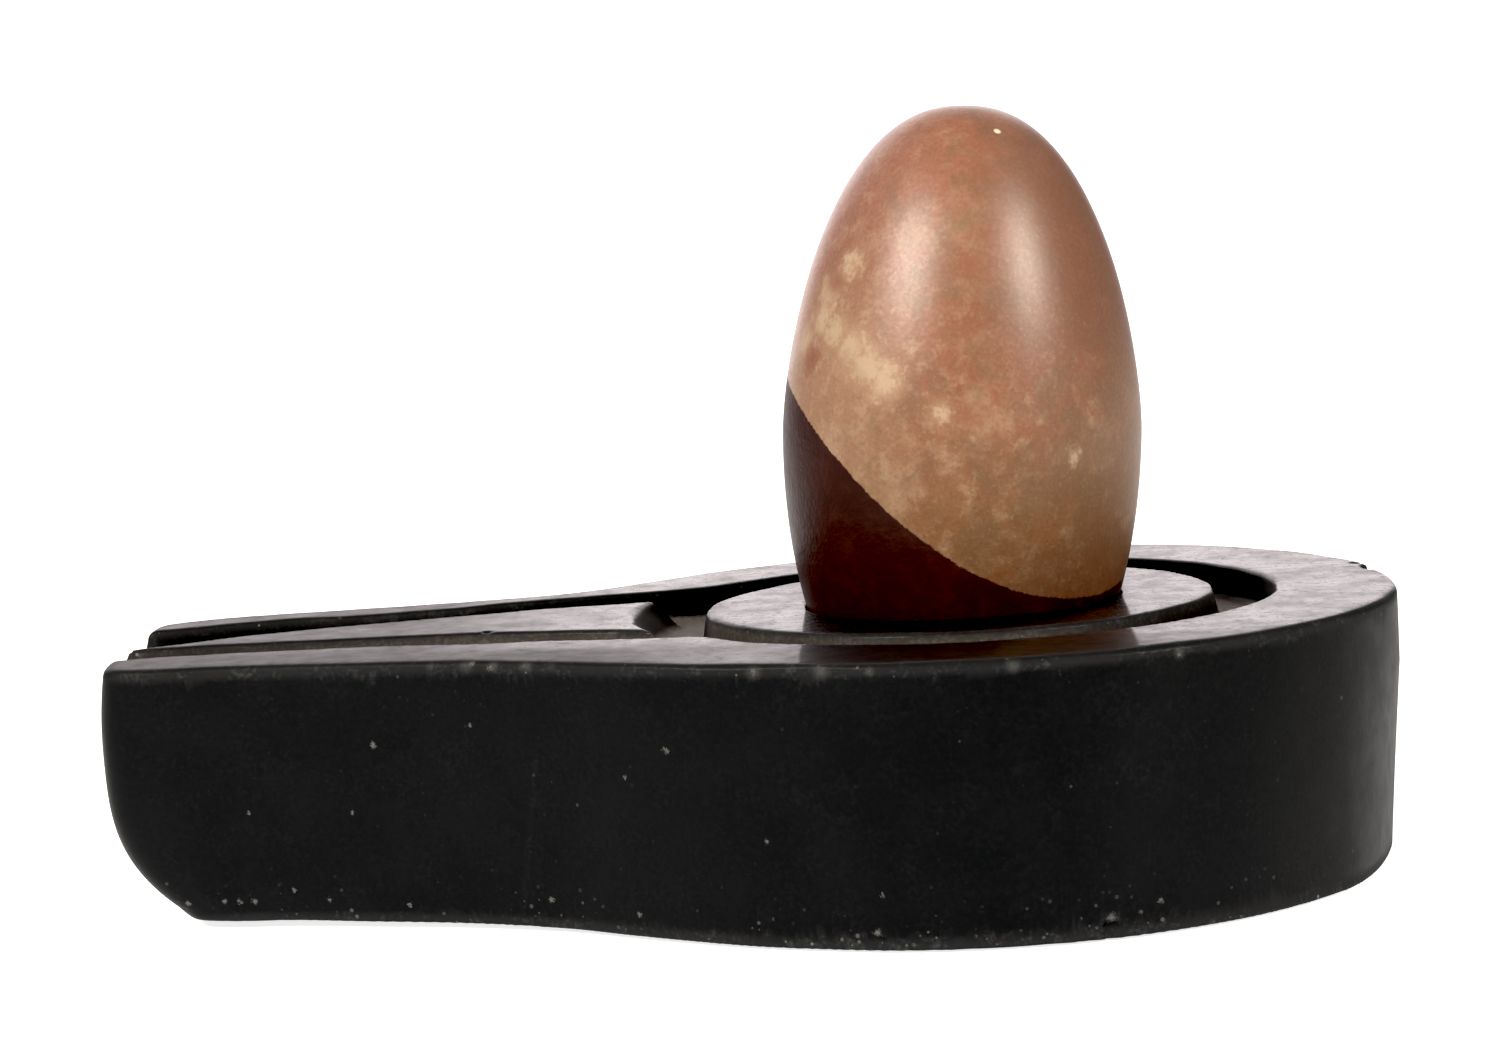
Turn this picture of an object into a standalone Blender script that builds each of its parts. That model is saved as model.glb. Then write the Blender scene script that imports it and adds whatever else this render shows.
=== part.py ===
# A shiva lingam stone standing in a carved black stone base.
# The base is one block: a round body with a long spout, a raised rim, a channel that runs round a
# central disk, and an island that parts the channel into two grooves on the spout. The lingam is a
# polished egg-like stone whose lower end sits in a blind socket in the disk.
# Sizes are in millimetres up to the point where a mesh is made, which is in metres. While a shape is
# worked out, the round body's centre is at x = 0, y = 0, the spout runs towards -X and the underside is
# z = 0.

import math

import bmesh
import bpy
import numpy as np
from mathutils import Matrix, Vector

MM = 0.001

# Base, overall
BASE_HEIGHT = 22.4
SPOUT_REACH = 73.2
# Where the flat underside ends and the spout's underside starts to rise
LIFT_START = -16.1
SPOUT_LIFT = 0.6
# Rounded edges: how far each one reaches along the flat face and down the wall
RIM_ROUND = 1.0
CARVED_ROUND = 0.5
FOOT_ROUND = 0.3
# The spout's side walls lean in towards the underside
SPOUT_DRAFT = 2.4
DRAFT_FULL = -36.0
# The spout's end curves under like a boat's bow, and a little way back at the top too
BOW_SETBACK = 7.2
BOW_TOP = 15.0
BOW_POWER = 3.3
BOW_TOP_SETBACK = 0.7
# The edge is worn rounder towards the spout's end
END_WEAR = 0.6
END_WEAR_START = -64.0
BOW_START = -45.0
# The round end's wall also leans in towards the underside, on the side away from the spout
HEEL_DRAFT = 1.25
HEEL_TOP = 16.0
HEEL_COSINES = (0.75, 0.95)
# Heights at which the wall between its rounded edges is shaped
WALL_LEVELS = (2.0, 3.8, 6.4, 10.0, 15.0)

# Channel, disk and island
CHANNEL_DEPTH = 2.7
CHANNEL_RADIUS = 27.4
DISK_RADIUS = 22.0
DISK_STEPS = 80
ISLAND_END_RADIUS = 29.0
ISLAND_FOOT_RADIUS = 26.6

# Lingam stone: an egg of revolution, leaning a little away from the spout
STONE_RADIUS = 15.54
STONE_ABOVE = 28.08
STONE_BELOW = 26.0
STONE_TOP_POWERS = (1.642, 2.308)
STONE_FOOT_POWERS = (1.93, 3.08)
STONE_LEAN = math.radians(3.2)
STONE_WIDEST = (1.0, 0.0, 36.92)
FLAT_SPOT_RADIUS = 4.0
STONE_SIDES = 56
SOCKET_GAP = 0.35
SOCKET_MOUTH_RADIUS = 14.6
SOCKET_MOUTH_DEPTH = 0.9

# Hand-cut outlines, seen from above. Each is the edge of a flat top face, as a few points that a smooth
# curve joins; the round stretches come from a radius.
# The round body is slightly out of true: the radius of its wall at each bearing, in degrees
ROUND_WALL = {-115: 37.9, -90: 37.9, -60: 37.9, -30: 37.8, 0: 37.5, 25: 38.1, 48: 38.4, 70: 37.7,
              90: 37.2, 114: 36.5}
SPOUT_FAR_WALL = [(-22.5, 28.9), (-27.3, 25.0), (-31.9, 21.4), (-36.5, 19.3), (-41.5, 18.1), (-52.0, 17.3),
                  (-63.5, 16.7), (-69.4, 15.4), (-72.4, 13.4), (-73.0, 9.5), (-72.9, -1.0)]
SPOUT_NEAR_WALL = [(-73.2, -11.0), (-72.3, -15.0), (-69.0, -16.3), (-62.0, -17.1), (-54.0, -18.8),
                   (-46.5, -20.6), (-40.5, -22.7), (-34.7, -25.5), (-29.5, -28.4), (-22.7, -31.7)]
TROUGH_NEAR = [(-27.5, -14.3), (-35.0, -12.6), (-43.5, -11.1), (-51.0, -9.4), (-61.0, -8.6), (-70.0, -8.5),
               (-77.0, -8.4)]
TROUGH_FAR = [(-77.0, 8.6), (-70.0, 9.6), (-63.5, 11.6), (-58.8, 12.3), (-54.0, 11.8), (-45.0, 13.1),
              (-36.5, 15.4), (-27.0, 16.6), (-22.4, 17.8)]
TROUGH_ARC = (-146.0, 130.5)
ISLAND_FAR = [(-27.5, 9.6), (-36.0, 9.0), (-44.0, 7.2), (-53.5, 5.0), (-62.0, 2.7), (-68.0, -0.6)]
ISLAND_TIP = [(-72.3, -2.6)]
ISLAND_NEAR = [(-66.0, -2.7), (-57.0, -3.5), (-44.5, -4.5), (-35.5, -6.3), (-30.5, -8.0), (-27.4, -9.8)]


def polar(radius, degrees):
    angle = math.radians(degrees)
    return radius * math.cos(angle), radius * math.sin(angle)


def smooth_loop(points, steps):
    """A closed centripetal Catmull-Rom curve through points, with this many steps from each to the next."""
    corners = np.array(points, dtype=float)
    count = len(corners)
    loop = []
    for i in range(count):
        p0, p1, p2, p3 = (corners[(i + k) % count] for k in (-1, 0, 1, 2))
        t1 = math.sqrt(np.linalg.norm(p1 - p0))
        t2 = t1 + math.sqrt(np.linalg.norm(p2 - p1))
        t3 = t2 + math.sqrt(np.linalg.norm(p3 - p2))
        for t in np.linspace(t1, t2, steps, endpoint=False):
            a1 = p0 + (p1 - p0) * (t / t1)
            a2 = p1 + (p2 - p1) * ((t - t1) / (t2 - t1))
            a3 = p2 + (p3 - p2) * ((t - t2) / (t3 - t2))
            b1 = a1 + (a2 - a1) * (t / t2)
            b2 = a2 + (a3 - a2) * ((t - t1) / (t3 - t1))
            loop.append(b1 + (b2 - b1) * ((t - t1) / (t2 - t1)))
    return np.array(loop)


def grown(loop, distance):
    """A counter-clockwise loop moved outwards by distance, or inwards if it is negative."""
    along = np.roll(loop, -1, axis=0) - np.roll(loop, 1, axis=0)
    along /= np.linalg.norm(along, axis=1)[:, None]
    outward = np.stack([along[:, 1], -along[:, 0]], axis=1)
    return loop + outward * np.reshape(distance, (-1, 1))


def smoothstep(value):
    value = np.clip(value, 0.0, 1.0)
    return value * value * (3.0 - 2.0 * value)


def new_object(name, bm, material):
    mesh = bpy.data.meshes.new(name)
    bm.to_mesh(mesh)
    bm.free()
    mesh.shade_smooth()
    mesh.set_sharp_from_angle(angle=math.radians(35))
    obj = bpy.data.objects.new(name, mesh)
    bpy.context.scene.collection.objects.link(obj)
    if material:
        mesh.materials.append(material)
    return obj


def stacked(rings, fold=None):
    """A closed solid through rings of equal count, lowest first, each counter-clockwise from above.

    fold gives the two places in a ring between which the bottom face is creased.
    """
    bm = bmesh.new()
    rows = [[bm.verts.new(Vector(point) * MM) for point in ring] for ring in rings]
    count = len(rows[0])
    for low, high in zip(rows, rows[1:]):
        for i in range(count):
            j = (i + 1) % count
            bm.faces.new((low[i], low[j], high[j], high[i]))
    first, last = fold or (0, count - 1)
    bm.faces.new(rows[0][first:last + 1][::-1])
    if fold:
        bm.faces.new((rows[0][last:] + rows[0][:first + 1])[::-1])
    bm.faces.new(rows[-1])
    return bm


def ring(loop, height):
    heights = np.broadcast_to(height, len(loop))
    return [(x, y, z) for (x, y), z in zip(loop, heights)]


def outer_wall():
    """The block's wall as seen from above, starting where the underside's lift ends on the near side."""
    bearings = list(ROUND_WALL)
    corners = []
    for low, high in zip(bearings, bearings[1:]):
        for share in (0.0, 0.5):
            bearing = low + (high - low) * share
            radius = ROUND_WALL[low] + (ROUND_WALL[high] - ROUND_WALL[low]) * share
            corners.append(polar(radius, bearing))
    corners.append(polar(ROUND_WALL[bearings[-1]], bearings[-1]))
    return smooth_loop(corners + SPOUT_FAR_WALL + SPOUT_NEAR_WALL, 3)


def at_height(loop, height):
    """The wall's outline at a height, or at one height for each point: it is drawn in lower down."""
    x, y = loop[:, 0].copy(), loop[:, 1].copy()
    low, high = HEEL_COSINES
    heel = HEEL_DRAFT * np.maximum(0.0, 1.0 - height / HEEL_TOP)
    x -= heel * smoothstep((x / np.hypot(x, y) - low) / (high - low))
    setback = BOW_SETBACK * np.maximum(0.0, 1.0 - height / BOW_TOP) ** BOW_POWER
    setback += BOW_TOP_SETBACK * np.maximum(0.0, (height - BOW_TOP) / (BASE_HEIGHT - BOW_TOP)) ** 2
    x += setback * smoothstep((BOW_START - x) / (SPOUT_REACH + BOW_START))
    draft = SPOUT_DRAFT * (1.0 - height / BASE_HEIGHT)
    share = smoothstep((LIFT_START - x) / (LIFT_START - DRAFT_FULL))
    y -= np.clip(y / 8.0, -1.0, 1.0) * draft * share
    return np.stack([x, y], axis=1)


def underside(loop):
    """Height of the underside at each point of a loop: flat, then rising slowly along the spout."""
    return SPOUT_LIFT * np.maximum(0.0, LIFT_START - loop[:, 0]) / (SPOUT_REACH + LIFT_START)


def make_block():
    wall = outer_wall()
    # The underside rises along the spout, so its outline and its height are found together
    height = np.zeros(len(wall))
    for _ in range(5):
        foot = grown(at_height(wall, height), -FOOT_ROUND)
        height = underside(foot)
    rings = [ring(foot, height), ring(at_height(wall, height + FOOT_ROUND), height + FOOT_ROUND)]
    for height in WALL_LEVELS:
        rings.append(ring(at_height(wall, height), height))
    top = at_height(wall, BASE_HEIGHT)
    worn = smoothstep((END_WEAR_START - wall[:, 0]) / (SPOUT_REACH + END_WEAR_START))
    rounding = RIM_ROUND + END_WEAR * worn
    for angle in (0, 30, 60, 90):
        turn = math.radians(angle)
        inset = rounding * (1.0 - math.cos(turn))
        drop = rounding * (1.0 - math.sin(turn))
        rings.append(ring(grown(top, -inset), BASE_HEIGHT - drop))
    # The loop starts where the underside's flat part does, and the bottom is creased where that part ends
    lifted = np.flatnonzero(foot[:, 0] <= LIFT_START)
    return stacked(rings, (0, int(lifted[0]) - 1))


def carved_rings(loop, side, over):
    """Rings of a carved edge, running past the channel by over.

    side is 1 where stone stands inside the loop and -1 where the stone inside it is cut away.
    """
    top = BASE_HEIGHT
    floor = top - CHANNEL_DEPTH
    steps = [(top + over, 0.0), (top, 0.0), (top - 0.3 * CARVED_ROUND, 0.7 * CARVED_ROUND),
             (top - CARVED_ROUND, CARVED_ROUND), (floor + CARVED_ROUND, 1.3 * CARVED_ROUND),
             (floor, 2.0 * CARVED_ROUND)]
    if side > 0:
        steps.append((floor - over, 2.0 * CARVED_ROUND))
    return [ring(grown(loop, side * growth), height) for height, growth in steps[::-1]]


def make_trough():
    start, end = TROUGH_ARC
    arc = [polar(CHANNEL_RADIUS, start + (end - start) * i / 20) for i in range(21)]
    loop = smooth_loop(arc + TROUGH_FAR[::-1] + TROUGH_NEAR[::-1], 3)
    return stacked(carved_rings(loop, -1, 2.0))


def make_disk():
    loop = np.array([polar(DISK_RADIUS, 360.0 * i / DISK_STEPS) for i in range(DISK_STEPS)])
    return stacked(carved_rings(loop, 1, 3.0))


def make_island():
    """The island, whose end near the disk is a shallow arc that slopes down to the channel's floor."""
    first = math.degrees(math.atan2(ISLAND_FAR[0][1], ISLAND_FAR[0][0]))
    last = math.degrees(math.atan2(ISLAND_NEAR[-1][1], ISLAND_NEAR[-1][0])) + 360.0
    end = [polar(ISLAND_END_RADIUS, last + (first - last) * i / 4) for i in (1, 2, 3)]
    loop = smooth_loop(ISLAND_FAR + ISLAND_TIP + ISLAND_NEAR + end, 3)
    rings = []
    for points in carved_rings(loop, 1, 3.0):
        moved = []
        for x, y, z in points:
            reach = math.hypot(x, y)
            share = min(1.0, max(0.0, (BASE_HEIGHT - z) / CHANNEL_DEPTH))
            near_end = smoothstep((ISLAND_END_RADIUS + 2.5 - reach) / 2.5)
            wanted = ISLAND_END_RADIUS + (ISLAND_FOOT_RADIUS - ISLAND_END_RADIUS) * share
            scale = 1.0 + (min(reach, wanted) / reach - 1.0) * near_end
            moved.append((x * scale, y * scale, z))
        rings.append(moved)
    return stacked(rings)


def stone_radius(height):
    """The stone's radius at a height along its own axis, measured from its widest place."""
    reach, powers = (STONE_ABOVE, STONE_TOP_POWERS) if height > 0 else (STONE_BELOW, STONE_FOOT_POWERS)
    share = min(1.0, abs(height) / reach)
    return STONE_RADIUS * max(0.0, 1.0 - share ** powers[0]) ** (1.0 / powers[1])


def turned(profile, sides, tip):
    """A solid turned round Z through (radius, height) pairs from the bottom, closed by a point or a flat."""
    bm = bmesh.new()
    rows = []
    for radius, height in profile:
        corners = [polar(radius, 360.0 * i / sides) for i in range(sides)]
        rows.append([bm.verts.new((x * MM, y * MM, height * MM)) for x, y in corners])
    for low, high in zip(rows, rows[1:]):
        for i in range(sides):
            j = (i + 1) % sides
            bm.faces.new((low[i], low[j], high[j], high[i]))
    bm.faces.new(rows[0][::-1])
    if tip is None:
        bm.faces.new(rows[-1])
    else:
        point = bm.verts.new((0.0, 0.0, tip * MM))
        for i in range(sides):
            bm.faces.new((rows[-1][i], rows[-1][(i + 1) % sides], point))
    return bm


def flat_spot_height():
    """Height along the axis at which the stone's foot has narrowed to its flat spot."""
    low, high = -STONE_BELOW, 0.0
    for _ in range(60):
        middle = 0.5 * (low + high)
        if stone_radius(middle) < FLAT_SPOT_RADIUS:
            low = middle
        else:
            high = middle
    return high


def stone_profile(extra, top_steps):
    """(radius, height) pairs from the flat spot up. extra widens the stone for the socket's gap."""
    foot = flat_spot_height()
    heights = [foot * math.cos(math.radians(90.0 * i / 9)) for i in range(9)]
    heights += [STONE_ABOVE * math.sin(math.radians(90.0 * i / top_steps)) for i in range(top_steps)]
    profile = np.array([(stone_radius(height), height) for height in heights])
    along = np.gradient(profile, axis=0)
    along /= np.linalg.norm(along, axis=1)[:, None]
    profile += extra * np.stack([along[:, 1], -along[:, 0]], axis=1)
    profile[0] = (FLAT_SPOT_RADIUS + 0.5 * extra, foot - extra)
    return profile


def lean_matrix():
    x, y, z = STONE_WIDEST
    return Matrix.Translation((x * MM, y * MM, z * MM)) @ Matrix.Rotation(STONE_LEAN, 4, "Y")


def make_stone():
    bm = turned(stone_profile(0.0, 15), STONE_SIDES, STONE_ABOVE)
    bm.transform(lean_matrix())
    return bm


def make_socket():
    bm = turned(stone_profile(SOCKET_GAP, 1), STONE_SIDES, None)
    bm.transform(lean_matrix())
    return bm


def make_socket_mouth():
    """The small bevel round the socket's mouth."""
    inner = SOCKET_MOUTH_RADIUS - SOCKET_MOUTH_DEPTH
    top = BASE_HEIGHT
    profile = [(inner, top - SOCKET_MOUTH_DEPTH), (SOCKET_MOUTH_RADIUS, top),
               (SOCKET_MOUTH_RADIUS, top + 2.0)]
    return turned(profile, STONE_SIDES, None)


def make_material(name, colour, roughness):
    material = bpy.data.materials.new(name)
    material.use_nodes = True
    shader = material.node_tree.nodes["Principled BSDF"]
    shader.inputs["Base Color"].default_value = (*colour, 1.0)
    shader.inputs["Roughness"].default_value = roughness
    shader.inputs["Metallic"].default_value = 0.0
    material.diffuse_color = (*colour, 1.0)
    return material


def cut(target, name, bm):
    """Cuts the target with a helper solid that isn't part of the object, and returns the helper."""
    helper = new_object(name, bm, None)
    helper.location = target.location
    helper.hide_render = True
    helper.display_type = "WIRE"
    modifier = target.modifiers.new(name, "BOOLEAN")
    modifier.operation = "DIFFERENCE"
    modifier.solver = "EXACT"
    modifier.object = helper
    return helper


def main():
    for obj in list(bpy.data.objects):
        bpy.data.objects.remove(obj, do_unlink=True)

    # The origin is under the middle of the base's length and width, so everything moves by this much
    wall = outer_wall()
    middle = 0.5 * (wall.min(axis=0) + wall.max(axis=0)) * MM
    place = (-middle[0], -middle[1], 0.0)

    base = new_object("yoni_base", make_block(), make_material("black_stone", (0.012, 0.012, 0.014), 0.35))
    base.location = place
    trough = cut(base, "trough_cutter", make_trough())
    cut(trough, "disk_form", make_disk())
    cut(trough, "island_form", make_island())
    cut(base, "socket_cutter", make_socket())
    cut(base, "socket_mouth_cutter", make_socket_mouth())

    stone = new_object("lingam_stone", make_stone(), make_material("river_stone", (0.36, 0.19, 0.12), 0.3))
    stone.location = place


main()
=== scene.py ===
import math

import bpy
import numpy as np
from mathutils import Matrix, Vector


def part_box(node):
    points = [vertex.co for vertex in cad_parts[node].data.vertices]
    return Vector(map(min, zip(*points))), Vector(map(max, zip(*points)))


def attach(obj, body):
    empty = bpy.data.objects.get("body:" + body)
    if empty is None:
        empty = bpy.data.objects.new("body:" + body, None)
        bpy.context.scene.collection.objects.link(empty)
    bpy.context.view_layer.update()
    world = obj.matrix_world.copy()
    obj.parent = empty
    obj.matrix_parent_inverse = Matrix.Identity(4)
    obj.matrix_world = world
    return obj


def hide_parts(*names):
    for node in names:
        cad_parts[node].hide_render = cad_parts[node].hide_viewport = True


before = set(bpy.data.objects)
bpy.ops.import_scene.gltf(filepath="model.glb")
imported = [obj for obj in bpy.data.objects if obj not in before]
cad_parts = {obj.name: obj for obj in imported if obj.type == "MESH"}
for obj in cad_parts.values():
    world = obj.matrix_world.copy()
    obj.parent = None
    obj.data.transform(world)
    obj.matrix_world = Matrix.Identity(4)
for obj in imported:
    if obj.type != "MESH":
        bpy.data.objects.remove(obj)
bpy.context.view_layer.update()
mm = 0.001

# Sizes below are millimetres. The base's shapes are worked out with the centre of its round body at
# x 0, y 0, the spout towards -x and the underside at z 0, and moved into the frame at the end.

baseLook = {
    "height": 22.4,
    "roundEnd": 37.5,
    "nearSide": 37.9,
    # The spout's underside starts to rise at a place along the base, and rises this much by its end
    "liftStart": -16.1,
    "liftLength": 57.1,
    "spoutLift": 0.6,
    # The spout's side walls lean in towards the underside, fully so this far past where the rise starts
    "spoutDraft": 2.4,
    "draftLength": 19.9,
    # The round end's wall leans in too, below a height
    "heelLean": 1.25,
    "heelTop": 16.0,
    # The spout's end curves under like a bow, less so at its very foot, and goes back a little at the top
    "bowStart": -45.0,
    "bowLength": 28.2,
    "bowSetback": 7.2,
    "bowTop": 15.0,
    "bowPower": 3.3,
    "bowFoot": 0.45,
    "bowFootHeight": 1.6,
    "bowTopSetback": 0.7,
    "channelDepth": 2.7,
    "channelRadius": 27.4,
    "diskRadius": 22.0,
    "islandEnd": 28.6,
    "islandFoot": 26.6,
    "rimRounding": 0.65,
    "carvedRounding": 0.4,
    "footRounding": 0.25,
    "socketRounding": 0.25,
    "socketGap": 0.12,
    "floorRounding": 0.5,
    # The channel's walls lean out by this much from its floor to its top
    "channelDraft": 0.55,
    # Unevenness: how high its waves are, how long, and their seed
    "wallWaves": (0.05, 14.0, 11),
    "topWaves": (0.018, 9.0, 12),
    "rimWaves": (0.12, 12.0, 13),
    "channelWaves": (0.05, 6.0, 14),
    "floorWaves": (0.03, 4.0, 15),
    # A faint upright crease on the spout's near wall: its foot, its lean, half its width, depth and top
    "creaseFoot": (-37.6, 3.5),
    "creaseLean": 0.156,
    "creaseWidth": 0.22,
    "creaseDepth": 0.07,
    "creaseTop": 17.5,
    # The grid that the surface is found on, coarser up the plain middle of the walls
    "gridLow": (-74.6, -39.6, -0.8),
    "gridHigh": (39.6, 40.4, 23.6),
    "plainWalls": (3.2, 17.5),
    "voxel": 0.34,
    "mostTriangles": 185000,
    # Nicks knocked out of the edges: where a small ball bites in, and its radius
    "nicks": [
        (7.8, -37.6, 0.9, 0.95), (11.8, -36.6, 0.6, 0.6), (-10.2, -37.0, 0.8, 0.75),
        (39.5, 4.4, 25.5, 4.62), (36.3, 7.7, 22.75, 0.68), (-40.9, -4.6, 23.0, 0.85),
    ],
}

stoneLook = {
    "radius": 15.54,
    "above": 28.08,
    "below": 26.0,
    "topPowers": (1.642, 2.308),
    "footPowers": (1.93, 3.08),
    "flatSpot": 4.0,
    "lean": math.radians(3.2),
    "widest": (1.0, 0.0, 36.92),
    "sides": 224,
    "levels": 150,
    "unevenness": 0.05,
}

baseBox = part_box("yoni_base")
centreX = baseBox[1].x / mm - baseLook["roundEnd"]
centreY = baseBox[0].y / mm + baseLook["nearSide"]


# Camera, from the photograph's lines
view = {
    "place": (-21.205, -288.478, 59.837),
    "pitch": 0.101862,
    "roll": 0.057205,
    "yaw": 0.011830,
    "lens": 80.0,
}


def makeCamera():
    data = bpy.data.cameras.new("camera")
    data.lens = view["lens"]
    data.sensor_width = 36.0
    data.clip_start = 0.01
    data.clip_end = 100.0
    camera = bpy.data.objects.new("camera", data)
    bpy.context.scene.collection.objects.link(camera)
    pitch, roll, yaw = view["pitch"], view["roll"], view["yaw"]
    ahead = Vector((math.sin(yaw) * math.cos(pitch), math.cos(yaw) * math.cos(pitch), -math.sin(pitch)))
    level = Vector((math.cos(yaw), -math.sin(yaw), 0.0))
    down = ahead.cross(level)
    right = math.cos(roll) * level + math.sin(roll) * down
    up = math.sin(roll) * level - math.cos(roll) * down
    turn = Matrix((right, up, -ahead)).transposed().to_4x4()
    x, y, z = view["place"]
    camera.matrix_world = Matrix.Translation(((x + centreX) * mm, (y + centreY) * mm, z * mm)) @ turn
    bpy.context.scene.camera = camera


makeCamera()
print("camera placed")


# One wrapper for values in any node tree, so that maths reads as maths
class Wire:
    def __init__(self, maker, socket):
        self.maker = maker
        self.socket = socket

    def __add__(self, other):
        return self.maker.math("ADD", self, other)

    def __radd__(self, other):
        return self.maker.math("ADD", other, self)

    def __sub__(self, other):
        return self.maker.math("SUBTRACT", self, other)

    def __rsub__(self, other):
        return self.maker.math("SUBTRACT", other, self)

    def __mul__(self, other):
        return self.maker.math("MULTIPLY", self, other)

    def __rmul__(self, other):
        return self.maker.math("MULTIPLY", other, self)

    def __truediv__(self, other):
        return self.maker.math("DIVIDE", self, other)

    def __pow__(self, other):
        return self.maker.math("POWER", self, other)


class Maker:
    def __init__(self, tree):
        self.tree = tree

    def node(self, kind, settings=None, inputs=None):
        made = self.tree.nodes.new(kind)
        for name, value in (settings or {}).items():
            if name == "stops":
                self.setStops(made.color_ramp, value)
            else:
                setattr(made, name, value)
        for name, value in (inputs or {}).items():
            if isinstance(value, Wire):
                self.tree.links.new(value.socket, made.inputs[name])
            else:
                made.inputs[name].default_value = value
        return made

    def setStops(self, ramp, stops):
        while len(ramp.elements) < len(stops):
            ramp.elements.new(0.5)
        for element, (place, colour) in zip(ramp.elements, stops):
            element.position = place
            element.color = (*colour, 1.0)

    def out(self, made, name=0):
        return Wire(self, made.outputs[name])

    def math(self, operation, first, second=0.0):
        return self.out(self.node("ShaderNodeMath", {"operation": operation}, {0: first, 1: second}))

    def vector(self, operation, first, second=(0.0, 0.0, 0.0), output="Vector"):
        made = self.node("ShaderNodeVectorMath", {"operation": operation}, {0: first, 1: second})
        return self.out(made, output)

    def split(self, vector):
        made = self.node("ShaderNodeSeparateXYZ", None, {0: vector})
        return [self.out(made, i) for i in range(3)]

    def joined(self, x, y, z):
        return self.out(self.node("ShaderNodeCombineXYZ", None, {0: x, 1: y, 2: z}))

    def mixed(self, share, first, second):
        made = self.node("ShaderNodeMix", {"data_type": "RGBA", "clamp_factor": True},
                         {0: share, 6: first, 7: second})
        return self.out(made, 2)

    def ramp(self, value, low, high, start=0.0, end=1.0):
        made = self.node("ShaderNodeMapRange", {"interpolation_type": "SMOOTHSTEP"},
                         {0: value, 1: low, 2: high, 3: start, 4: end})
        return self.out(made)

    def noise(self, place, scale, detail=3.0, roughness=0.55, distortion=0.0):
        made = self.node("ShaderNodeTexNoise", None,
                         {"Vector": place, "Scale": scale, "Detail": detail, "Roughness": roughness,
                          "Distortion": distortion})
        return self.out(made, 0)


def rgb(red, green, blue):
    return (red, green, blue, 1.0)


# Plan outlines of the base, each the edge of a flat top face, as points that a smooth curve joins
roundWall = {-115: 37.9, -90: 37.9, -60: 37.9, -30: 37.8, 0: 37.5, 25: 38.1, 48: 38.4, 70: 37.7, 90: 37.2,
             114: 36.5}
spoutFarWall = [(-22.5, 28.9), (-27.3, 25.0), (-31.9, 21.4), (-36.5, 19.3), (-41.5, 18.1), (-52.0, 17.3),
                (-63.5, 16.7), (-69.4, 15.4), (-72.4, 13.4), (-73.0, 9.5), (-72.9, -1.0)]
spoutNearWall = [(-73.2, -11.0), (-72.3, -15.0), (-69.0, -16.3), (-62.0, -17.1), (-54.0, -18.8),
                 (-46.5, -20.6), (-40.5, -22.7), (-34.7, -25.5), (-29.5, -28.4), (-22.7, -31.7)]
troughNear = [(-27.5, -14.3), (-35.0, -12.6), (-43.5, -11.1), (-51.0, -9.4), (-61.0, -8.6), (-70.0, -8.5),
              (-77.0, -8.4)]
troughFar = [(-77.0, 8.6), (-70.0, 9.6), (-63.5, 11.6), (-58.8, 12.3), (-54.0, 11.8), (-45.0, 13.1),
             (-36.5, 15.4), (-27.0, 16.6), (-22.4, 17.8)]
troughArc = (-146.0, 130.5)
islandFar = [(-24.0, 9.6), (-29.0, 9.5), (-36.0, 9.0), (-44.0, 7.2), (-53.5, 5.0), (-62.0, 2.7),
             (-68.0, -0.6)]
islandTip = [(-72.3, -2.6)]
islandNear = [(-66.0, -2.7), (-57.0, -3.5), (-44.5, -4.5), (-35.5, -6.3), (-30.5, -8.0), (-24.0, -10.4)]


def polar(radius, degrees):
    angle = math.radians(degrees)
    return radius * math.cos(angle), radius * math.sin(angle)


def smoothLoop(points, steps):
    corners = np.array(points, dtype=float)
    count = len(corners)
    loop = []
    for i in range(count):
        p0, p1, p2, p3 = (corners[(i + k) % count] for k in (-1, 0, 1, 2))
        t1 = math.sqrt(np.linalg.norm(p1 - p0))
        t2 = t1 + math.sqrt(np.linalg.norm(p2 - p1))
        t3 = t2 + math.sqrt(np.linalg.norm(p3 - p2))
        for t in np.linspace(t1, t2, steps, endpoint=False):
            a1 = p0 + (p1 - p0) * (t / t1)
            a2 = p1 + (p2 - p1) * ((t - t1) / (t2 - t1))
            a3 = p2 + (p3 - p2) * ((t - t2) / (t3 - t2))
            b1 = a1 + (a2 - a1) * (t / t2)
            b2 = a2 + (a3 - a2) * ((t - t1) / (t3 - t1))
            loop.append(b1 + (b2 - b1) * ((t - t1) / (t2 - t1)))
    return np.array(loop)


def eased(value):
    value = np.clip(value, 0.0, 1.0)
    return value * value * (3.0 - 2.0 * value)


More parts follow.
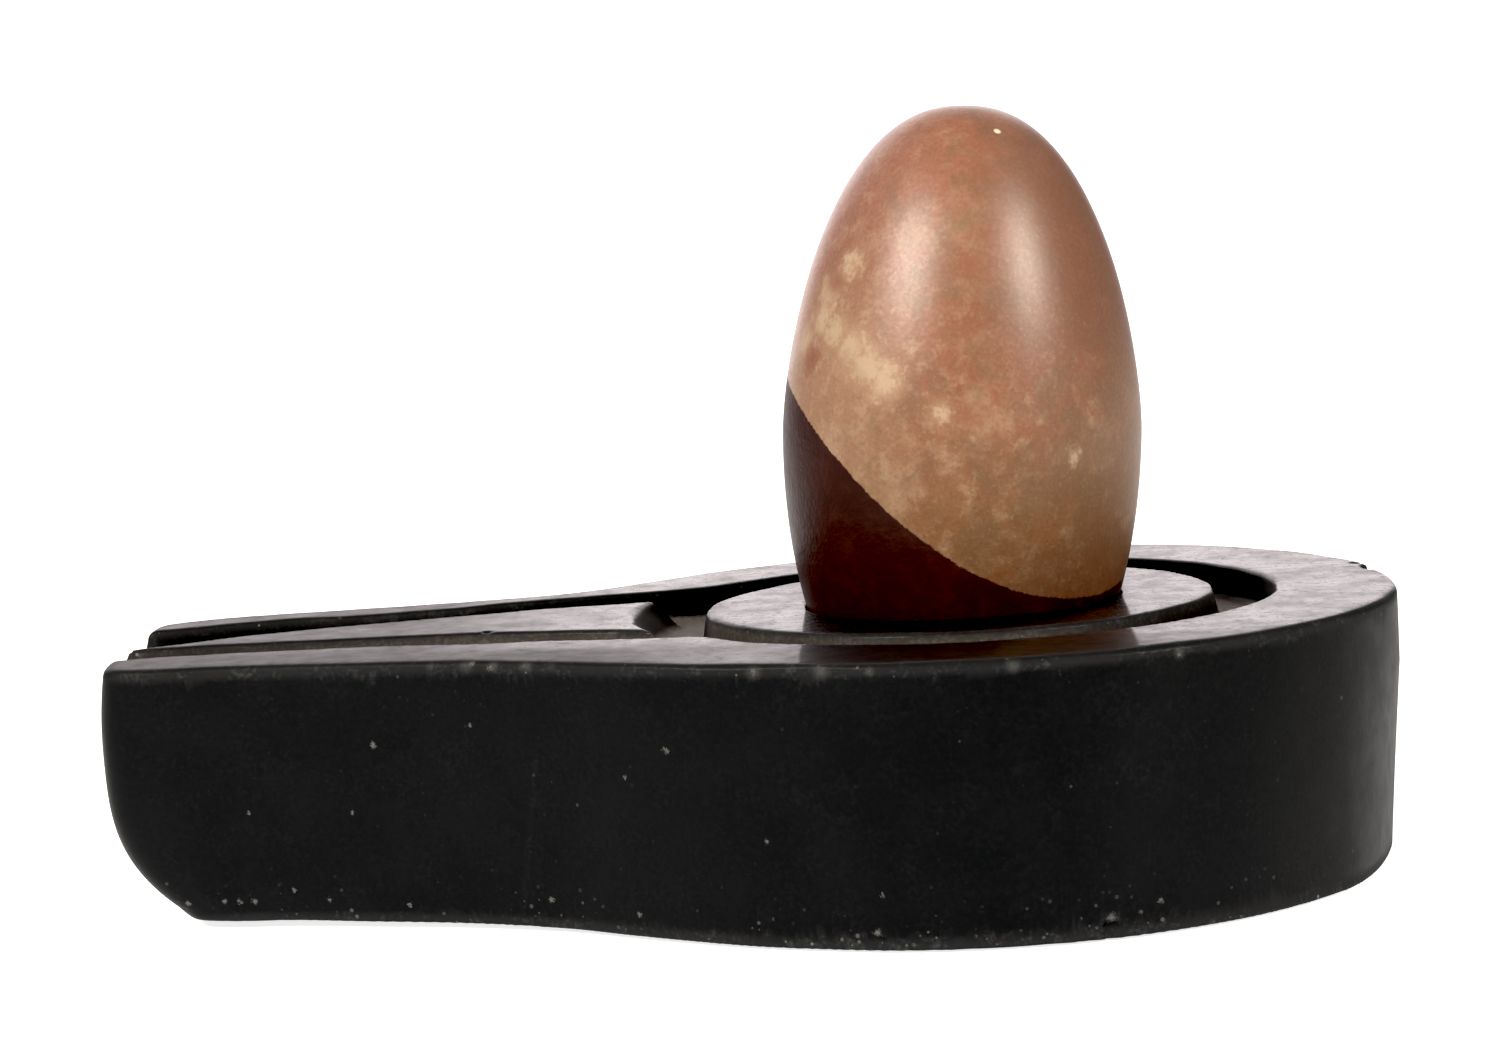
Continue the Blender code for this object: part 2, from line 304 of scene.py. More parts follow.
# The signed distance to an outline, worked out once on a fine plan grid and read between its points
class PlanMap:
    step = 0.25
    low = (-80.0, -42.0)
    high = (42.0, 42.0)

    def __init__(self, loop):
        xs = np.arange(self.low[0], self.high[0], self.step)
        ys = np.arange(self.low[1], self.high[1], self.step)
        px, py = np.meshgrid(xs, ys, indexing="ij")
        nearest = np.full(px.shape, 1e9)
        inside = np.zeros(px.shape, dtype=bool)
        for (ax, ay), (bx, by) in zip(loop, np.roll(loop, -1, axis=0)):
            dx, dy = bx - ax, by - ay
            share = np.clip(((px - ax) * dx + (py - ay) * dy) / (dx * dx + dy * dy), 0.0, 1.0)
            nearest = np.minimum(nearest, (px - ax - share * dx) ** 2 + (py - ay - share * dy) ** 2)
            if dy:
                crosses = ((ay > py) != (by > py)) & (px < ax + (py - ay) * dx / dy)
                inside ^= crosses
        self.values = np.where(inside, -1.0, 1.0) * np.sqrt(nearest)

    def at(self, x, y):
        u = np.clip((x - self.low[0]) / self.step, 0.0, self.values.shape[0] - 1.001)
        v = np.clip((y - self.low[1]) / self.step, 0.0, self.values.shape[1] - 1.001)
        i, j = u.astype(int), v.astype(int)
        u, v = u - i, v - j
        near = self.values[i, j] * (1.0 - u) + self.values[i + 1, j] * u
        far = self.values[i, j + 1] * (1.0 - u) + self.values[i + 1, j + 1] * u
        return near * (1.0 - v) + far * v


def outerLoop():
    bearings = list(roundWall)
    corners = []
    for low, high in zip(bearings, bearings[1:]):
        for share in (0.0, 0.5):
            radius = roundWall[low] + (roundWall[high] - roundWall[low]) * share
            corners.append(polar(radius, low + (high - low) * share))
    corners.append(polar(roundWall[bearings[-1]], bearings[-1]))
    return smoothLoop(corners + spoutFarWall + spoutNearWall, 24)


def troughLoop():
    start, end = troughArc
    arc = [polar(baseLook["channelRadius"], start + (end - start) * i / 24) for i in range(25)]
    return smoothLoop(arc + troughFar[::-1] + troughNear[::-1], 10)


outerMap = PlanMap(outerLoop())
troughMap = PlanMap(troughLoop())
islandMap = PlanMap(smoothLoop(islandFar + islandTip + islandNear, 8))
print("outlines mapped")


# Where two faces meet: an outer corner or an inner one, rounded to a radius
def outerCorner(first, second, radius):
    beyond = np.hypot(np.maximum(first + radius, 0.0), np.maximum(second + radius, 0.0))
    return np.minimum(np.maximum(first, second), -radius) + beyond


def innerCorner(first, second, radius):
    return -outerCorner(-first, -second, radius)


# Smooth random unevenness: a sum of waves with seeded directions
def unevenness(x, y, z, waves):
    height, length, seed = waves
    count = 9
    random = np.random.default_rng(seed)
    total = 0.0
    for _ in range(count):
        direction = random.normal(size=3)
        direction *= 2.0 * math.pi / length * random.uniform(0.6, 1.5) / np.linalg.norm(direction)
        phase = random.uniform(0.0, 6.3)
        total = total + np.sin(direction[0] * x + direction[1] * y + direction[2] * z + phase)
    return height * total / math.sqrt(count)


def wallDistance(x, y, z):
    # Undo the wall's lean-in lower down, then read the plan outline
    height, bowTop = baseLook["height"], baseLook["bowTop"]
    reach = np.hypot(x, y) + 1e-6
    heel = baseLook["heelLean"] * np.maximum(0.0, 1.0 - z / baseLook["heelTop"])
    plainX = x + heel * eased((x / reach - 0.75) / 0.2)
    setback = baseLook["bowSetback"] * np.maximum(0.0, 1.0 - z / bowTop) ** baseLook["bowPower"]
    setback = setback - baseLook["bowFoot"] * np.clip(1.0 - z / baseLook["bowFootHeight"], 0.0, 1.0)
    setback = setback + baseLook["bowTopSetback"] * np.maximum(0.0, (z - bowTop) / (height - bowTop)) ** 2
    bowed = plainX
    for _ in range(4):
        bowed = plainX - setback * eased((baseLook["bowStart"] - bowed) / baseLook["bowLength"])
    onSpout = eased((baseLook["liftStart"] - bowed) / baseLook["draftLength"])
    draft = baseLook["spoutDraft"] * (1.0 - z / height) * onSpout
    plainY = y + np.clip(y / 6.0, -1.0, 1.0) * draft
    return outerMap.at(bowed, plainY)


def stoneRadius(height):
    above = np.clip(height / stoneLook["above"], 0.0, 1.0)
    below = np.clip(-height / stoneLook["below"], 0.0, 1.0)
    topFirst, topSecond = stoneLook["topPowers"]
    footFirst, footSecond = stoneLook["footPowers"]
    top = (1.0 - above ** topFirst) ** (1.0 / topSecond)
    foot = (1.0 - below ** footFirst) ** (1.0 / footSecond)
    return stoneLook["radius"] * np.where(height > 0.0, top, foot)


def flatSpotHeight():
    heights = np.linspace(-stoneLook["below"], 0.0, 4000)
    return float(heights[np.argmax(stoneRadius(heights) > stoneLook["flatSpot"])])


def socketDistance(x, y, z):
    wx, wy, wz = stoneLook["widest"]
    lean = stoneLook["lean"]
    across = math.cos(lean) * (x - wx) - math.sin(lean) * (z - wz)
    along = math.sin(lean) * (x - wx) + math.cos(lean) * (z - wz)
    gap = baseLook["socketGap"]
    side = np.hypot(across, y - wy) - stoneRadius(along) - gap
    return np.maximum(side, flatSpotHeight() - gap - along)


def channelPlan(x, y, z):
    # Negative over the channel's floor; its walls lean out a little towards the top
    top = baseLook["height"]
    depth = np.clip((top - z) / baseLook["channelDepth"], 0.0, 1.2)
    reach = np.hypot(x, y)
    narrower = baseLook["channelDraft"] * depth
    trough = troughMap.at(x, y) + narrower
    disk = baseLook["diskRadius"] + narrower - reach
    endRadius = baseLook["islandEnd"] + (baseLook["islandFoot"] - baseLook["islandEnd"]) * depth
    island = outerCorner(islandMap.at(x, y) - narrower, endRadius - reach, 0.15)
    return np.maximum(np.maximum(trough, disk), -island)


def baseField(x, y, z):
    # Signed distance to the carved base, negative inside the stone
    top = baseLook["height"]
    underside = baseLook["spoutLift"] * np.maximum(0.0, baseLook["liftStart"] - x) / baseLook["liftLength"]
    wall = wallDistance(x, y, z) + unevenness(x, y, z * 0.5, baseLook["wallWaves"])
    creaseX, creaseZ = baseLook["creaseFoot"]
    fromCrease = x - creaseX - (z - creaseZ) * baseLook["creaseLean"]
    crease = np.exp(-(fromCrease / baseLook["creaseWidth"]) ** 2)
    crease = crease * (y < 0.0) * eased((baseLook["creaseTop"] - z) / 4.0)
    wall = wall + baseLook["creaseDepth"] * crease
    upper = z - top + unevenness(x, y, z, baseLook["topWaves"])
    worn = unevenness(x, y, 0.0 * z, baseLook["rimWaves"])
    block = outerCorner(wall, upper, baseLook["rimRounding"] + worn)
    block = outerCorner(block, underside - z, baseLook["footRounding"])
    plan = channelPlan(x, y, z) + unevenness(x, y, z, baseLook["channelWaves"])
    floor = z - (top - baseLook["channelDepth"]) + unevenness(x, y, z, baseLook["floorWaves"])
    carved = innerCorner(-plan, floor, baseLook["floorRounding"])
    solid = outerCorner(block, carved, baseLook["carvedRounding"])
    for nickX, nickY, nickZ, radius in baseLook["nicks"]:
        away = np.sqrt((x - nickX) ** 2 + (y - nickY) ** 2 + (z - nickZ) ** 2)
        solid = np.maximum(solid, radius - away)
    return outerCorner(solid, -socketDistance(x, y, z), baseLook["socketRounding"])


# The surface where a field changes sign on a grid, as quads that follow it
def surfaceNet(axes, values):
    shape = np.array(values.shape) - 1
    inside = values < 0.0
    keys, points, faces = [], [], []
    for axis in range(3):
        u, v = (axis + 1) % 3, (axis + 2) % 3
        low = [slice(None)] * 3
        high = [slice(None)] * 3
        low[axis] = slice(None, -1)
        high[axis] = slice(1, None)
        low, high = tuple(low), tuple(high)
        index = np.nonzero(inside[low] != inside[high])
        first, second = values[low][index], values[high][index]
        share = first / (first - second)
        point = [axes[k][index[k]] for k in range(3)]
        point[axis] = point[axis] + share * (axes[axis][index[axis] + 1] - axes[axis][index[axis]])
        point = np.stack(point, axis=1)
        corners = []
        for du, dv in ((1, 1), (0, 1), (0, 0), (1, 0)):
            cell = [index[0].copy(), index[1].copy(), index[2].copy()]
            cell[u] -= du
            cell[v] -= dv
            key = np.ravel_multi_index(cell, shape)
            corners.append(key)
            keys.append(key)
            points.append(point)
        quad = np.stack(corners, axis=1)
        outward = inside[low][index]
        faces.append(np.where(outward[:, None], quad, quad[:, ::-1]))
    keys = np.concatenate(keys)
    points = np.concatenate(points)
    used, place = np.unique(keys, return_inverse=True)
    count = np.bincount(place)
    verts = np.stack([np.bincount(place, points[:, k]) / count for k in range(3)], axis=1)
    return verts, np.searchsorted(used, np.concatenate(faces))


def fieldSlope(field, verts, step=0.04):
    slope = np.zeros_like(verts)
    for k in range(3):
        offset = np.zeros(3)
        offset[k] = step
        slope[:, k] = (field(*(verts + offset).T) - field(*(verts - offset).T)) / (2.0 * step)
    return slope


def settled(field, verts, rounds, most):
    # Moves points straight onto the surface, never by much
    for _ in range(rounds):
        slope = fieldSlope(field, verts)
        size = np.maximum((slope ** 2).sum(axis=1), 0.2)
        move = -(field(*verts.T) / size)[:, None] * slope
        length = np.linalg.norm(move, axis=1)[:, None]
        verts = verts + move * np.minimum(1.0, most / np.maximum(length, 1e-9))
    return verts


def meshPoints(mesh):
    co = np.zeros(len(mesh.vertices) * 3, dtype=np.float32)
    mesh.vertices.foreach_get("co", co)
    return co.reshape(-1, 3).astype(float)


def evaluatedCopy(obj):
    graph = bpy.context.evaluated_depsgraph_get()
    mesh = bpy.data.meshes.new_from_object(obj.evaluated_get(graph), depsgraph=graph)
    old = obj.data
    obj.modifiers.clear()
    obj.data = mesh
    bpy.data.meshes.remove(old)
    return mesh


def addNumbers(mesh, name, values):
    layer = mesh.attributes.new(name, "FLOAT", "POINT")
    layer.data.foreach_set("value", np.asarray(values, dtype=np.float32))


def makeBase():
    step = baseLook["voxel"] * 1.0
    lowX, lowY, lowZ = baseLook["gridLow"]
    highX, highY, highZ = baseLook["gridHigh"]
    plainLow, plainHigh = baseLook["plainWalls"]
    xs = np.arange(lowX, highX, step)
    ys = np.arange(lowY, highY, step)
    zs = np.concatenate([np.arange(lowZ, plainLow - 0.2, step), np.arange(plainLow, plainHigh, 2.0 * step),
                         np.arange(plainHigh + 0.3, highZ, step)])
    px, py = np.meshgrid(xs, ys, indexing="ij")
    values = np.stack([baseField(px, py, np.full_like(px, z)) for z in zs], axis=2)
    verts, faces = surfaceNet((xs, ys, zs), values)
    verts = settled(baseField, verts, 2, 0.3 * step)
    mesh = bpy.data.meshes.new("carved_base")
    mesh.from_pydata(verts.tolist(), [], faces.tolist())
    obj = bpy.data.objects.new("carved_base", mesh)
    bpy.context.scene.collection.objects.link(obj)
    triangles = 2 * len(faces)
    if triangles > baseLook["mostTriangles"]:
        thin = obj.modifiers.new("thin", "DECIMATE")
        thin.ratio = baseLook["mostTriangles"] / triangles
        mesh = evaluatedCopy(obj)
    verts = settled(baseField, meshPoints(mesh), 1, 0.1)
    normals = fieldSlope(baseField, verts, 0.15)
    normals /= np.linalg.norm(normals, axis=1)[:, None]
    inset = baseField(*(verts - 1.1 * normals).T) + 1.1
    height = baseLook["height"]
    plan = channelPlan(verts[:, 0], verts[:, 1], verts[:, 2])
    flat = eased((normals[:, 2] - 0.40) / 0.55)
    sunk = height - verts[:, 2]
    isCarved = eased((0.5 - plan) / 0.4) * eased((sunk - 0.12) / 0.5)
    isCarved = isCarved * eased((baseLook["channelDepth"] + 0.7 - sunk) / 0.5)
    # Dust lies on what faces up; the walls of the near half are made paler as well, less so to the right
    walls = 0.42 * eased((-1.0 - verts[:, 1]) / 4.0) * (1.0 - 0.75 * eased((verts[:, 0] - 2.0) / 12.0))
    dustAndPaleWalls = np.maximum(eased((normals[:, 2] - 0.45) / 0.52), walls)
    addNumbers(mesh, "polish", flat * eased((verts[:, 2] - height + 1.2) / 1.0))
    addNumbers(mesh, "carved", isCarved)
    addNumbers(mesh, "dusty", isCarved * dustAndPaleWalls)
    addNumbers(mesh, "edge", np.clip(inset / 0.4, 0.0, 1.0))
    placed = (verts + np.array([centreX, centreY, 0.0])) * mm
    mesh.vertices.foreach_set("co", placed.astype(np.float32).ravel())
    mesh.polygons.foreach_set("use_smooth", np.ones(len(mesh.polygons), dtype=bool))
    mesh.update()
    mesh.normals_split_custom_set_from_vertices(normals.tolist())
    print("base surface:", len(mesh.vertices), "points,", len(mesh.polygons), "faces")
    return obj


# The stone is turned by a rule in Geometry Nodes: a sphere's points are moved out to the egg's profile
def stoneTree():
    tree = bpy.data.node_groups.new("turned egg", "GeometryNodeTree")
    sizes = {
        "Radius": stoneLook["radius"],
        "Above": stoneLook["above"],
        "Below": stoneLook["below"],
        "Top Power": stoneLook["topPowers"][0],
        "Top Root": 1.0 / stoneLook["topPowers"][1],
        "Foot Power": stoneLook["footPowers"][0],
        "Foot Root": 1.0 / stoneLook["footPowers"][1],
        "Flat Spot Height": flatSpotHeight(),
        "Unevenness": stoneLook["unevenness"],
    }
    for name in sizes:
        tree.interface.new_socket(name, in_out="INPUT", socket_type="NodeSocketFloat")
    tree.interface.new_socket("Place", in_out="INPUT", socket_type="NodeSocketVector")
    tree.interface.new_socket("Lean", in_out="INPUT", socket_type="NodeSocketRotation")
    tree.interface.new_socket("Finish", in_out="INPUT", socket_type="NodeSocketMaterial")
    tree.interface.new_socket("Geometry", in_out="OUTPUT", socket_type="NodeSocketGeometry")
    maker = Maker(tree)
    given = maker.node("NodeGroupInput")
    size = {name: maker.out(given, name) for name in sizes}
    ball = maker.node("GeometryNodeMeshUVSphere", None,
                      {"Segments": stoneLook["sides"], "Rings": stoneLook["levels"], "Radius": 1.0})
    x, y, z = maker.split(maker.out(maker.node("GeometryNodeInputPosition")))
    isTop = maker.math("GREATER_THAN", z, 0.0)
    isFoot = 1.0 - isTop
    share = maker.math("MINIMUM", maker.math("ABSOLUTE", z), 1.0)
    power = isTop * size["Top Power"] + isFoot * size["Foot Power"]
    root = isTop * size["Top Root"] + isFoot * size["Foot Root"]
    profile = maker.math("MAXIMUM", 1.0 - share ** power, 0.0) ** root
    across = maker.math("MAXIMUM", maker.math("SQRT", x * x + y * y), 0.0001)
    turned = size["Radius"] * profile / across
    height = z * (isTop * size["Above"] + isFoot * size["Below"])
    flat = maker.math("MAXIMUM", height, size["Flat Spot Height"])
    egg = maker.joined(x * turned, y * turned, flat)
    shaped = maker.node("GeometryNodeSetPosition", None, {"Geometry": maker.out(ball), "Position": egg})
    # A water-worn stone is never quite round: slow swells, kept off the flat spot
    place = maker.out(maker.node("GeometryNodeInputPosition"))
    swell = maker.noise(place, 0.045, 2.0, 0.5) - 0.5
    kept = maker.math("GREATER_THAN", maker.split(place)[2], size["Flat Spot Height"] + 0.3)
    normal = maker.out(maker.node("GeometryNodeInputNormal"))
    push = maker.node("ShaderNodeVectorMath", {"operation": "SCALE"},
                      {0: normal, "Scale": swell * size["Unevenness"] * 4.0 * kept})
    worn = maker.node("GeometryNodeSetPosition", None,
                      {"Geometry": maker.out(shaped), "Offset": maker.out(push)})
    stood = maker.node("GeometryNodeTransform", None,
                       {"Geometry": maker.out(worn), "Translation": maker.out(given, "Place"),
                        "Rotation": maker.out(given, "Lean")})
    scaled = maker.node("GeometryNodeTransform", None,
                        {"Geometry": maker.out(stood), "Scale": (mm, mm, mm)})
    smooth = maker.node("GeometryNodeSetShadeSmooth", None, {"Geometry": maker.out(scaled)})
    real = maker.node("GeometryNodeRealizeInstances", None, {"Geometry": maker.out(smooth)})
    coloured = maker.node("GeometryNodeSetMaterial", None,
                          {"Geometry": maker.out(real), "Material": maker.out(given, "Finish")})
    end = maker.node("NodeGroupOutput")
    tree.links.new(coloured.outputs[0], end.inputs["Geometry"])
    return tree, sizes


def makeStone(finish):
    tree, sizes = stoneTree()
    mesh = bpy.data.meshes.new("river_stone")
    obj = bpy.data.objects.new("river_stone", mesh)
    bpy.context.scene.collection.objects.link(obj)
    modifier = obj.modifiers.new("turned egg", "NODES")
    modifier.node_group = tree
    x, y, z = stoneLook["widest"]
    values = dict(sizes)
    values["Place"] = (x + centreX, y + centreY, z)
    values["Lean"] = (0.0, stoneLook["lean"], 0.0)
    values["Finish"] = finish
    for item in tree.interface.items_tree:
        if item.in_out == "INPUT":
            modifier[item.identifier] = values[item.name]
    mesh = evaluatedCopy(obj)
    print("stone surface:", len(mesh.vertices), "points,", len(mesh.polygons), "faces")
    return obj


def newFinish(name):
    material = bpy.data.materials.new(name)
    material.use_nodes = True
    tree = material.node_tree
    return material, Maker(tree), tree.nodes["Principled BSDF"]


def feed(maker, shader, name, wire):
    maker.tree.links.new(wire.socket, shader.inputs[name])


def bumped(maker, shader, height, distance, strength=1.0):
    bump = maker.node("ShaderNodeBump", None,
                      {"Strength": strength, "Distance": distance, "Height": height})
    feed(maker, shader, "Normal", maker.out(bump))


# A soft-edged ball round a point, its edge broken up by a wobble in millimetres
def spot(maker, place, centre, radius, soft, wobble=0.0):
    distance = maker.vector("DISTANCE", place, centre, "Value")
    return maker.ramp(distance + wobble, radius - soft, radius + soft, 1.0, 0.0)


# Scattered specks: the cells of a Voronoi pattern, of which a share is kept, each a speck of its own size
def specks(maker, place, perMillimetre, share, size):
    cells = maker.node("ShaderNodeTexVoronoi", {"feature": "F1"}, {"Vector": place, "Scale": perMillimetre})
    picks = maker.node("ShaderNodeSeparateColor", None, {0: maker.out(cells, "Color")})
    kept = maker.math("LESS_THAN", maker.out(picks, 0), share)
    reach = size * (0.4 + maker.out(picks, 1))
    return maker.ramp(maker.out(cells, "Distance") / reach, 0.6, 1.0, 1.0, 0.0) * kept


blackLook = {
    "deep": rgb(0.0036, 0.0045, 0.0056),
    "worn": rgb(0.0050, 0.0058, 0.0070),
    "scuffed": rgb(0.036, 0.037, 0.039),
    "ground": rgb(0.105, 0.093, 0.088),
    "dust": rgb(0.26, 0.235, 0.22),
    "fleck": rgb(0.22, 0.22, 0.21),
    "wallRoughness": 0.50,
    "topRoughness": 0.50,
    "groundRoughness": 0.62,
    "polishRoughness": 0.10,
    # Pale flecks that show on the near wall: place in millimetres and radius
    "flecks": [
        (-49.8, -19.0, 15.5, 0.24), (-52.0, -17.9, 9.8, 0.20), (-41.6, -21.7, 17.1, 0.16),
        (-25.8, -29.9, 15.5, 0.28), (-29.2, -27.8, 13.2, 0.17), (-60.7, -16.0, 10.0, 0.14),
        (-18.3, -33.4, 8.5, 0.20), (-10.2, -36.4, 1.5, 0.34), (7.8, -37.0, 1.7, 0.50),
        (-9.7, -36.6, 4.4, 0.15), (11.8, -36.0, 2.6, 0.26), (-66.7, -13.6, 2.2, 0.26),
        (-63.5, -14.4, 2.4, 0.24), (-62.2, -14.6, 2.3, 0.22), (-61.0, -14.7, 2.3, 0.24),
        (-57.5, -15.6, 3.2, 0.18), (-35.9, -22.8, 2.6, 0.28), (-41.1, -22.1, 22.2, 0.36),
        (-39.6, -23.0, 21.9, 0.22), (-36.9, -24.4, 22.0, 0.20), (-18.6, -33.2, 21.8, 0.24),
        (-13.5, -35.0, 22.1, 0.26), (1.1, -37.7, 21.9, 0.20), (14.2, -35.1, 21.5, 0.18),
        (-47.8, -18.0, 1.9, 0.20), (-54.6, -16.2, 2.3, 0.16), (-28.7, -27.3, 2.0, 0.24),
        (-35.4, -24.4, 12.6, 0.24), (-34.2, -25.2, 13.0, 0.16),
    ],
    # Softer pale rubs along the near edge of the rim
    "rubs": [
        (-44.6, -21.2, 22.1, 0.5), (-41.6, -22.2, 22.2, 0.9), (-39.4, -23.1, 22.1, 0.7),
        (-36.6, -24.3, 22.1, 0.8), (-34.4, -25.2, 22.0, 0.5), (-18.6, -33.4, 21.8, 0.8),
        (-13.5, -35.4, 21.9, 0.9), (-9.8, -36.5, 21.8, 0.5), (1.1, -37.8, 21.8, 0.8),
        (14.2, -35.1, 21.6, 0.6),
    ],
}


def blackStoneFinish():
    material, maker, shader = newFinish("black_stone")
    coords = maker.out(maker.node("ShaderNodeTexCoord"), "Object")
    local = maker.node("ShaderNodeMapping", {"vector_type": "TEXTURE"},
                       {"Vector": coords, "Location": (centreX * mm, centreY * mm, 0.0),
                        "Scale": (mm, mm, mm)})
    place = maker.out(local)
    x, y, z = maker.split(place)
    polish, carved, dusty, edge = (
        maker.out(maker.node("ShaderNodeAttribute", {"attribute_name": name}), "Fac")
        for name in ("polish", "carved", "dusty", "edge"))
    cloud = maker.noise(place, 0.16, 4.0, 0.6)
    patch = maker.noise(place, 0.45, 4.0, 0.6)
    grain = maker.noise(place, 2.6, 3.0, 0.6)
    fine = maker.noise(place, 9.0, 2.0, 0.5)
    tone = maker.mixed(maker.ramp(cloud * 0.5 + grain * 0.5, 0.36, 0.64), blackLook["deep"],
                       blackLook["worn"])
    scuff = maker.ramp(patch * 0.5 + grain * 0.5, 0.50, 0.70) * (0.05 + edge * 0.6) + edge * 0.3
    tone = maker.mixed(scuff, tone, blackLook["scuffed"])
    dusting = maker.ramp(grain * 0.7 + patch * 0.3, 0.42, 0.64)
    ground = maker.mixed(dusting * 0.4, blackLook["ground"], blackLook["dust"])
    tone = maker.mixed(dusty * 0.85, tone, ground)
    # Pale specks: a few anywhere, more along the edges, and small clusters low on the walls
    low = maker.ramp(z, 4.5, 1.5) * maker.ramp(patch, 0.46, 0.58)
    pale = specks(maker, place, 0.60, 0.05, 0.10) * 0.12
    pale = maker.math("MAXIMUM", pale, specks(maker, place, 1.5, 0.10, 0.22) * (0.02 + edge * 0.4))
    pale = maker.math("MAXIMUM", pale, specks(maker, place, 1.7, 0.30, 0.28) * low * 0.22)
    wobble = (grain - 0.5) * 0.7 + (fine - 0.5) * 0.7
    for px, py, pz, radius in blackLook["flecks"]:
        fleck = spot(maker, place, (px, py, pz), radius * 0.6, radius * 0.5, wobble)
        pale = maker.math("MAXIMUM", pale, fleck * 0.36)
    for px, py, pz, radius in blackLook["rubs"]:
        rub = spot(maker, place, (px, py, pz), radius * 0.4, radius * 0.7, wobble * 0.8)
        pale = maker.math("MAXIMUM", pale, rub * 0.18)
    pale = pale * (1.0 - polish * 0.6)
    feed(maker, shader, "Base Color", maker.mixed(pale, tone, blackLook["fleck"]))
    wall = blackLook["wallRoughness"] + (patch - 0.5) * 0.2
    top = blackLook["topRoughness"] + (patch - 0.5) * 0.3
    rough = wall + (top - wall) * polish
    rough = rough + (blackLook["groundRoughness"] - rough) * carved
    feed(maker, shader, "Roughness", rough + maker.math("MAXIMUM", pale, edge) * 0.2)
    # The polish is worn thin along the near rim and towards the spout's end
    nearWear = maker.ramp(x, -32.0, -20.0, 0.09, 0.33)
    farWear = maker.ramp(x, -50.0, -28.0, 0.19, 0.60)
    isFar = maker.ramp(y + x * 0.25, -30.0, -22.0)
    worn = nearWear + (farWear - nearWear) * isFar
    sheen = maker.ramp(maker.noise(place, 0.28, 5.0, 0.65), 0.30, 0.64, 0.58, 1.05)
    pits = maker.ramp(maker.noise(place, 1.3, 3.0, 0.7), 0.36, 0.46, 0.55, 1.0)
    feed(maker, shader, "Coat Weight", polish * sheen * pits * worn * (1.0 - carved) * (1.0 - pale))
    shader.inputs["Coat Roughness"].default_value = blackLook["polishRoughness"]
    shader.inputs["Coat IOR"].default_value = 1.5
    shader.inputs["Specular IOR Level"].default_value = 0.11
    height = grain * 0.012 + fine * 0.006 + patch * 0.02 - pale * 0.03 + dusty * grain * 0.05
    bumped(maker, shader, height * (1.0 - polish * 0.5), mm)
    return material


stoneColours = {
    "rose": rgb(0.201, 0.081, 0.049),
    "amber": rgb(0.183, 0.072, 0.040),
    "khaki": rgb(0.180, 0.093, 0.048),
    "olive": rgb(0.128, 0.072, 0.039),
    "pale": rgb(0.358, 0.256, 0.168),
    "rust": rgb(0.167, 0.055, 0.028),
    "brown": rgb(0.130, 0.056, 0.033),
    "maroon": rgb(0.030, 0.0118, 0.0108),
    "maroonWarm": rgb(0.044, 0.0168, 0.0150),
    "dot": rgb(0.70, 0.52, 0.40),
    "roughness": 0.46,
    "sheenRoughness": 0.36,
    # Greenish-pale patches, rusty spots and the pale dot: place in the stone's own frame and radius
    "patches": [
        (-10.4, -8.2, 14.6, 1.0), (-12.2, -7.2, 12.3, 1.2), (-12.6, -7.0, 10.2, 1.0),
        (-11.6, -9.0, 9.2, 1.2), (-10.1, -10.8, 7.8, 1.4), (-8.9, -12.0, 6.3, 1.5),
        (-7.5, -13.1, 5.0, 1.4), (-3.0, -15.0, 2.7, 0.7), (-13.9, -5.0, 8.0, 0.9),
        (8.2, -13.0, -1.2, 0.4),
    ],
    "rusty": [(-11.3, -7.2, 13.0, 0.9), (-13.2, -6.5, 6.6, 1.2)],
    "paleDot": (2.4, -6.0, 25.8, 0.29),
}


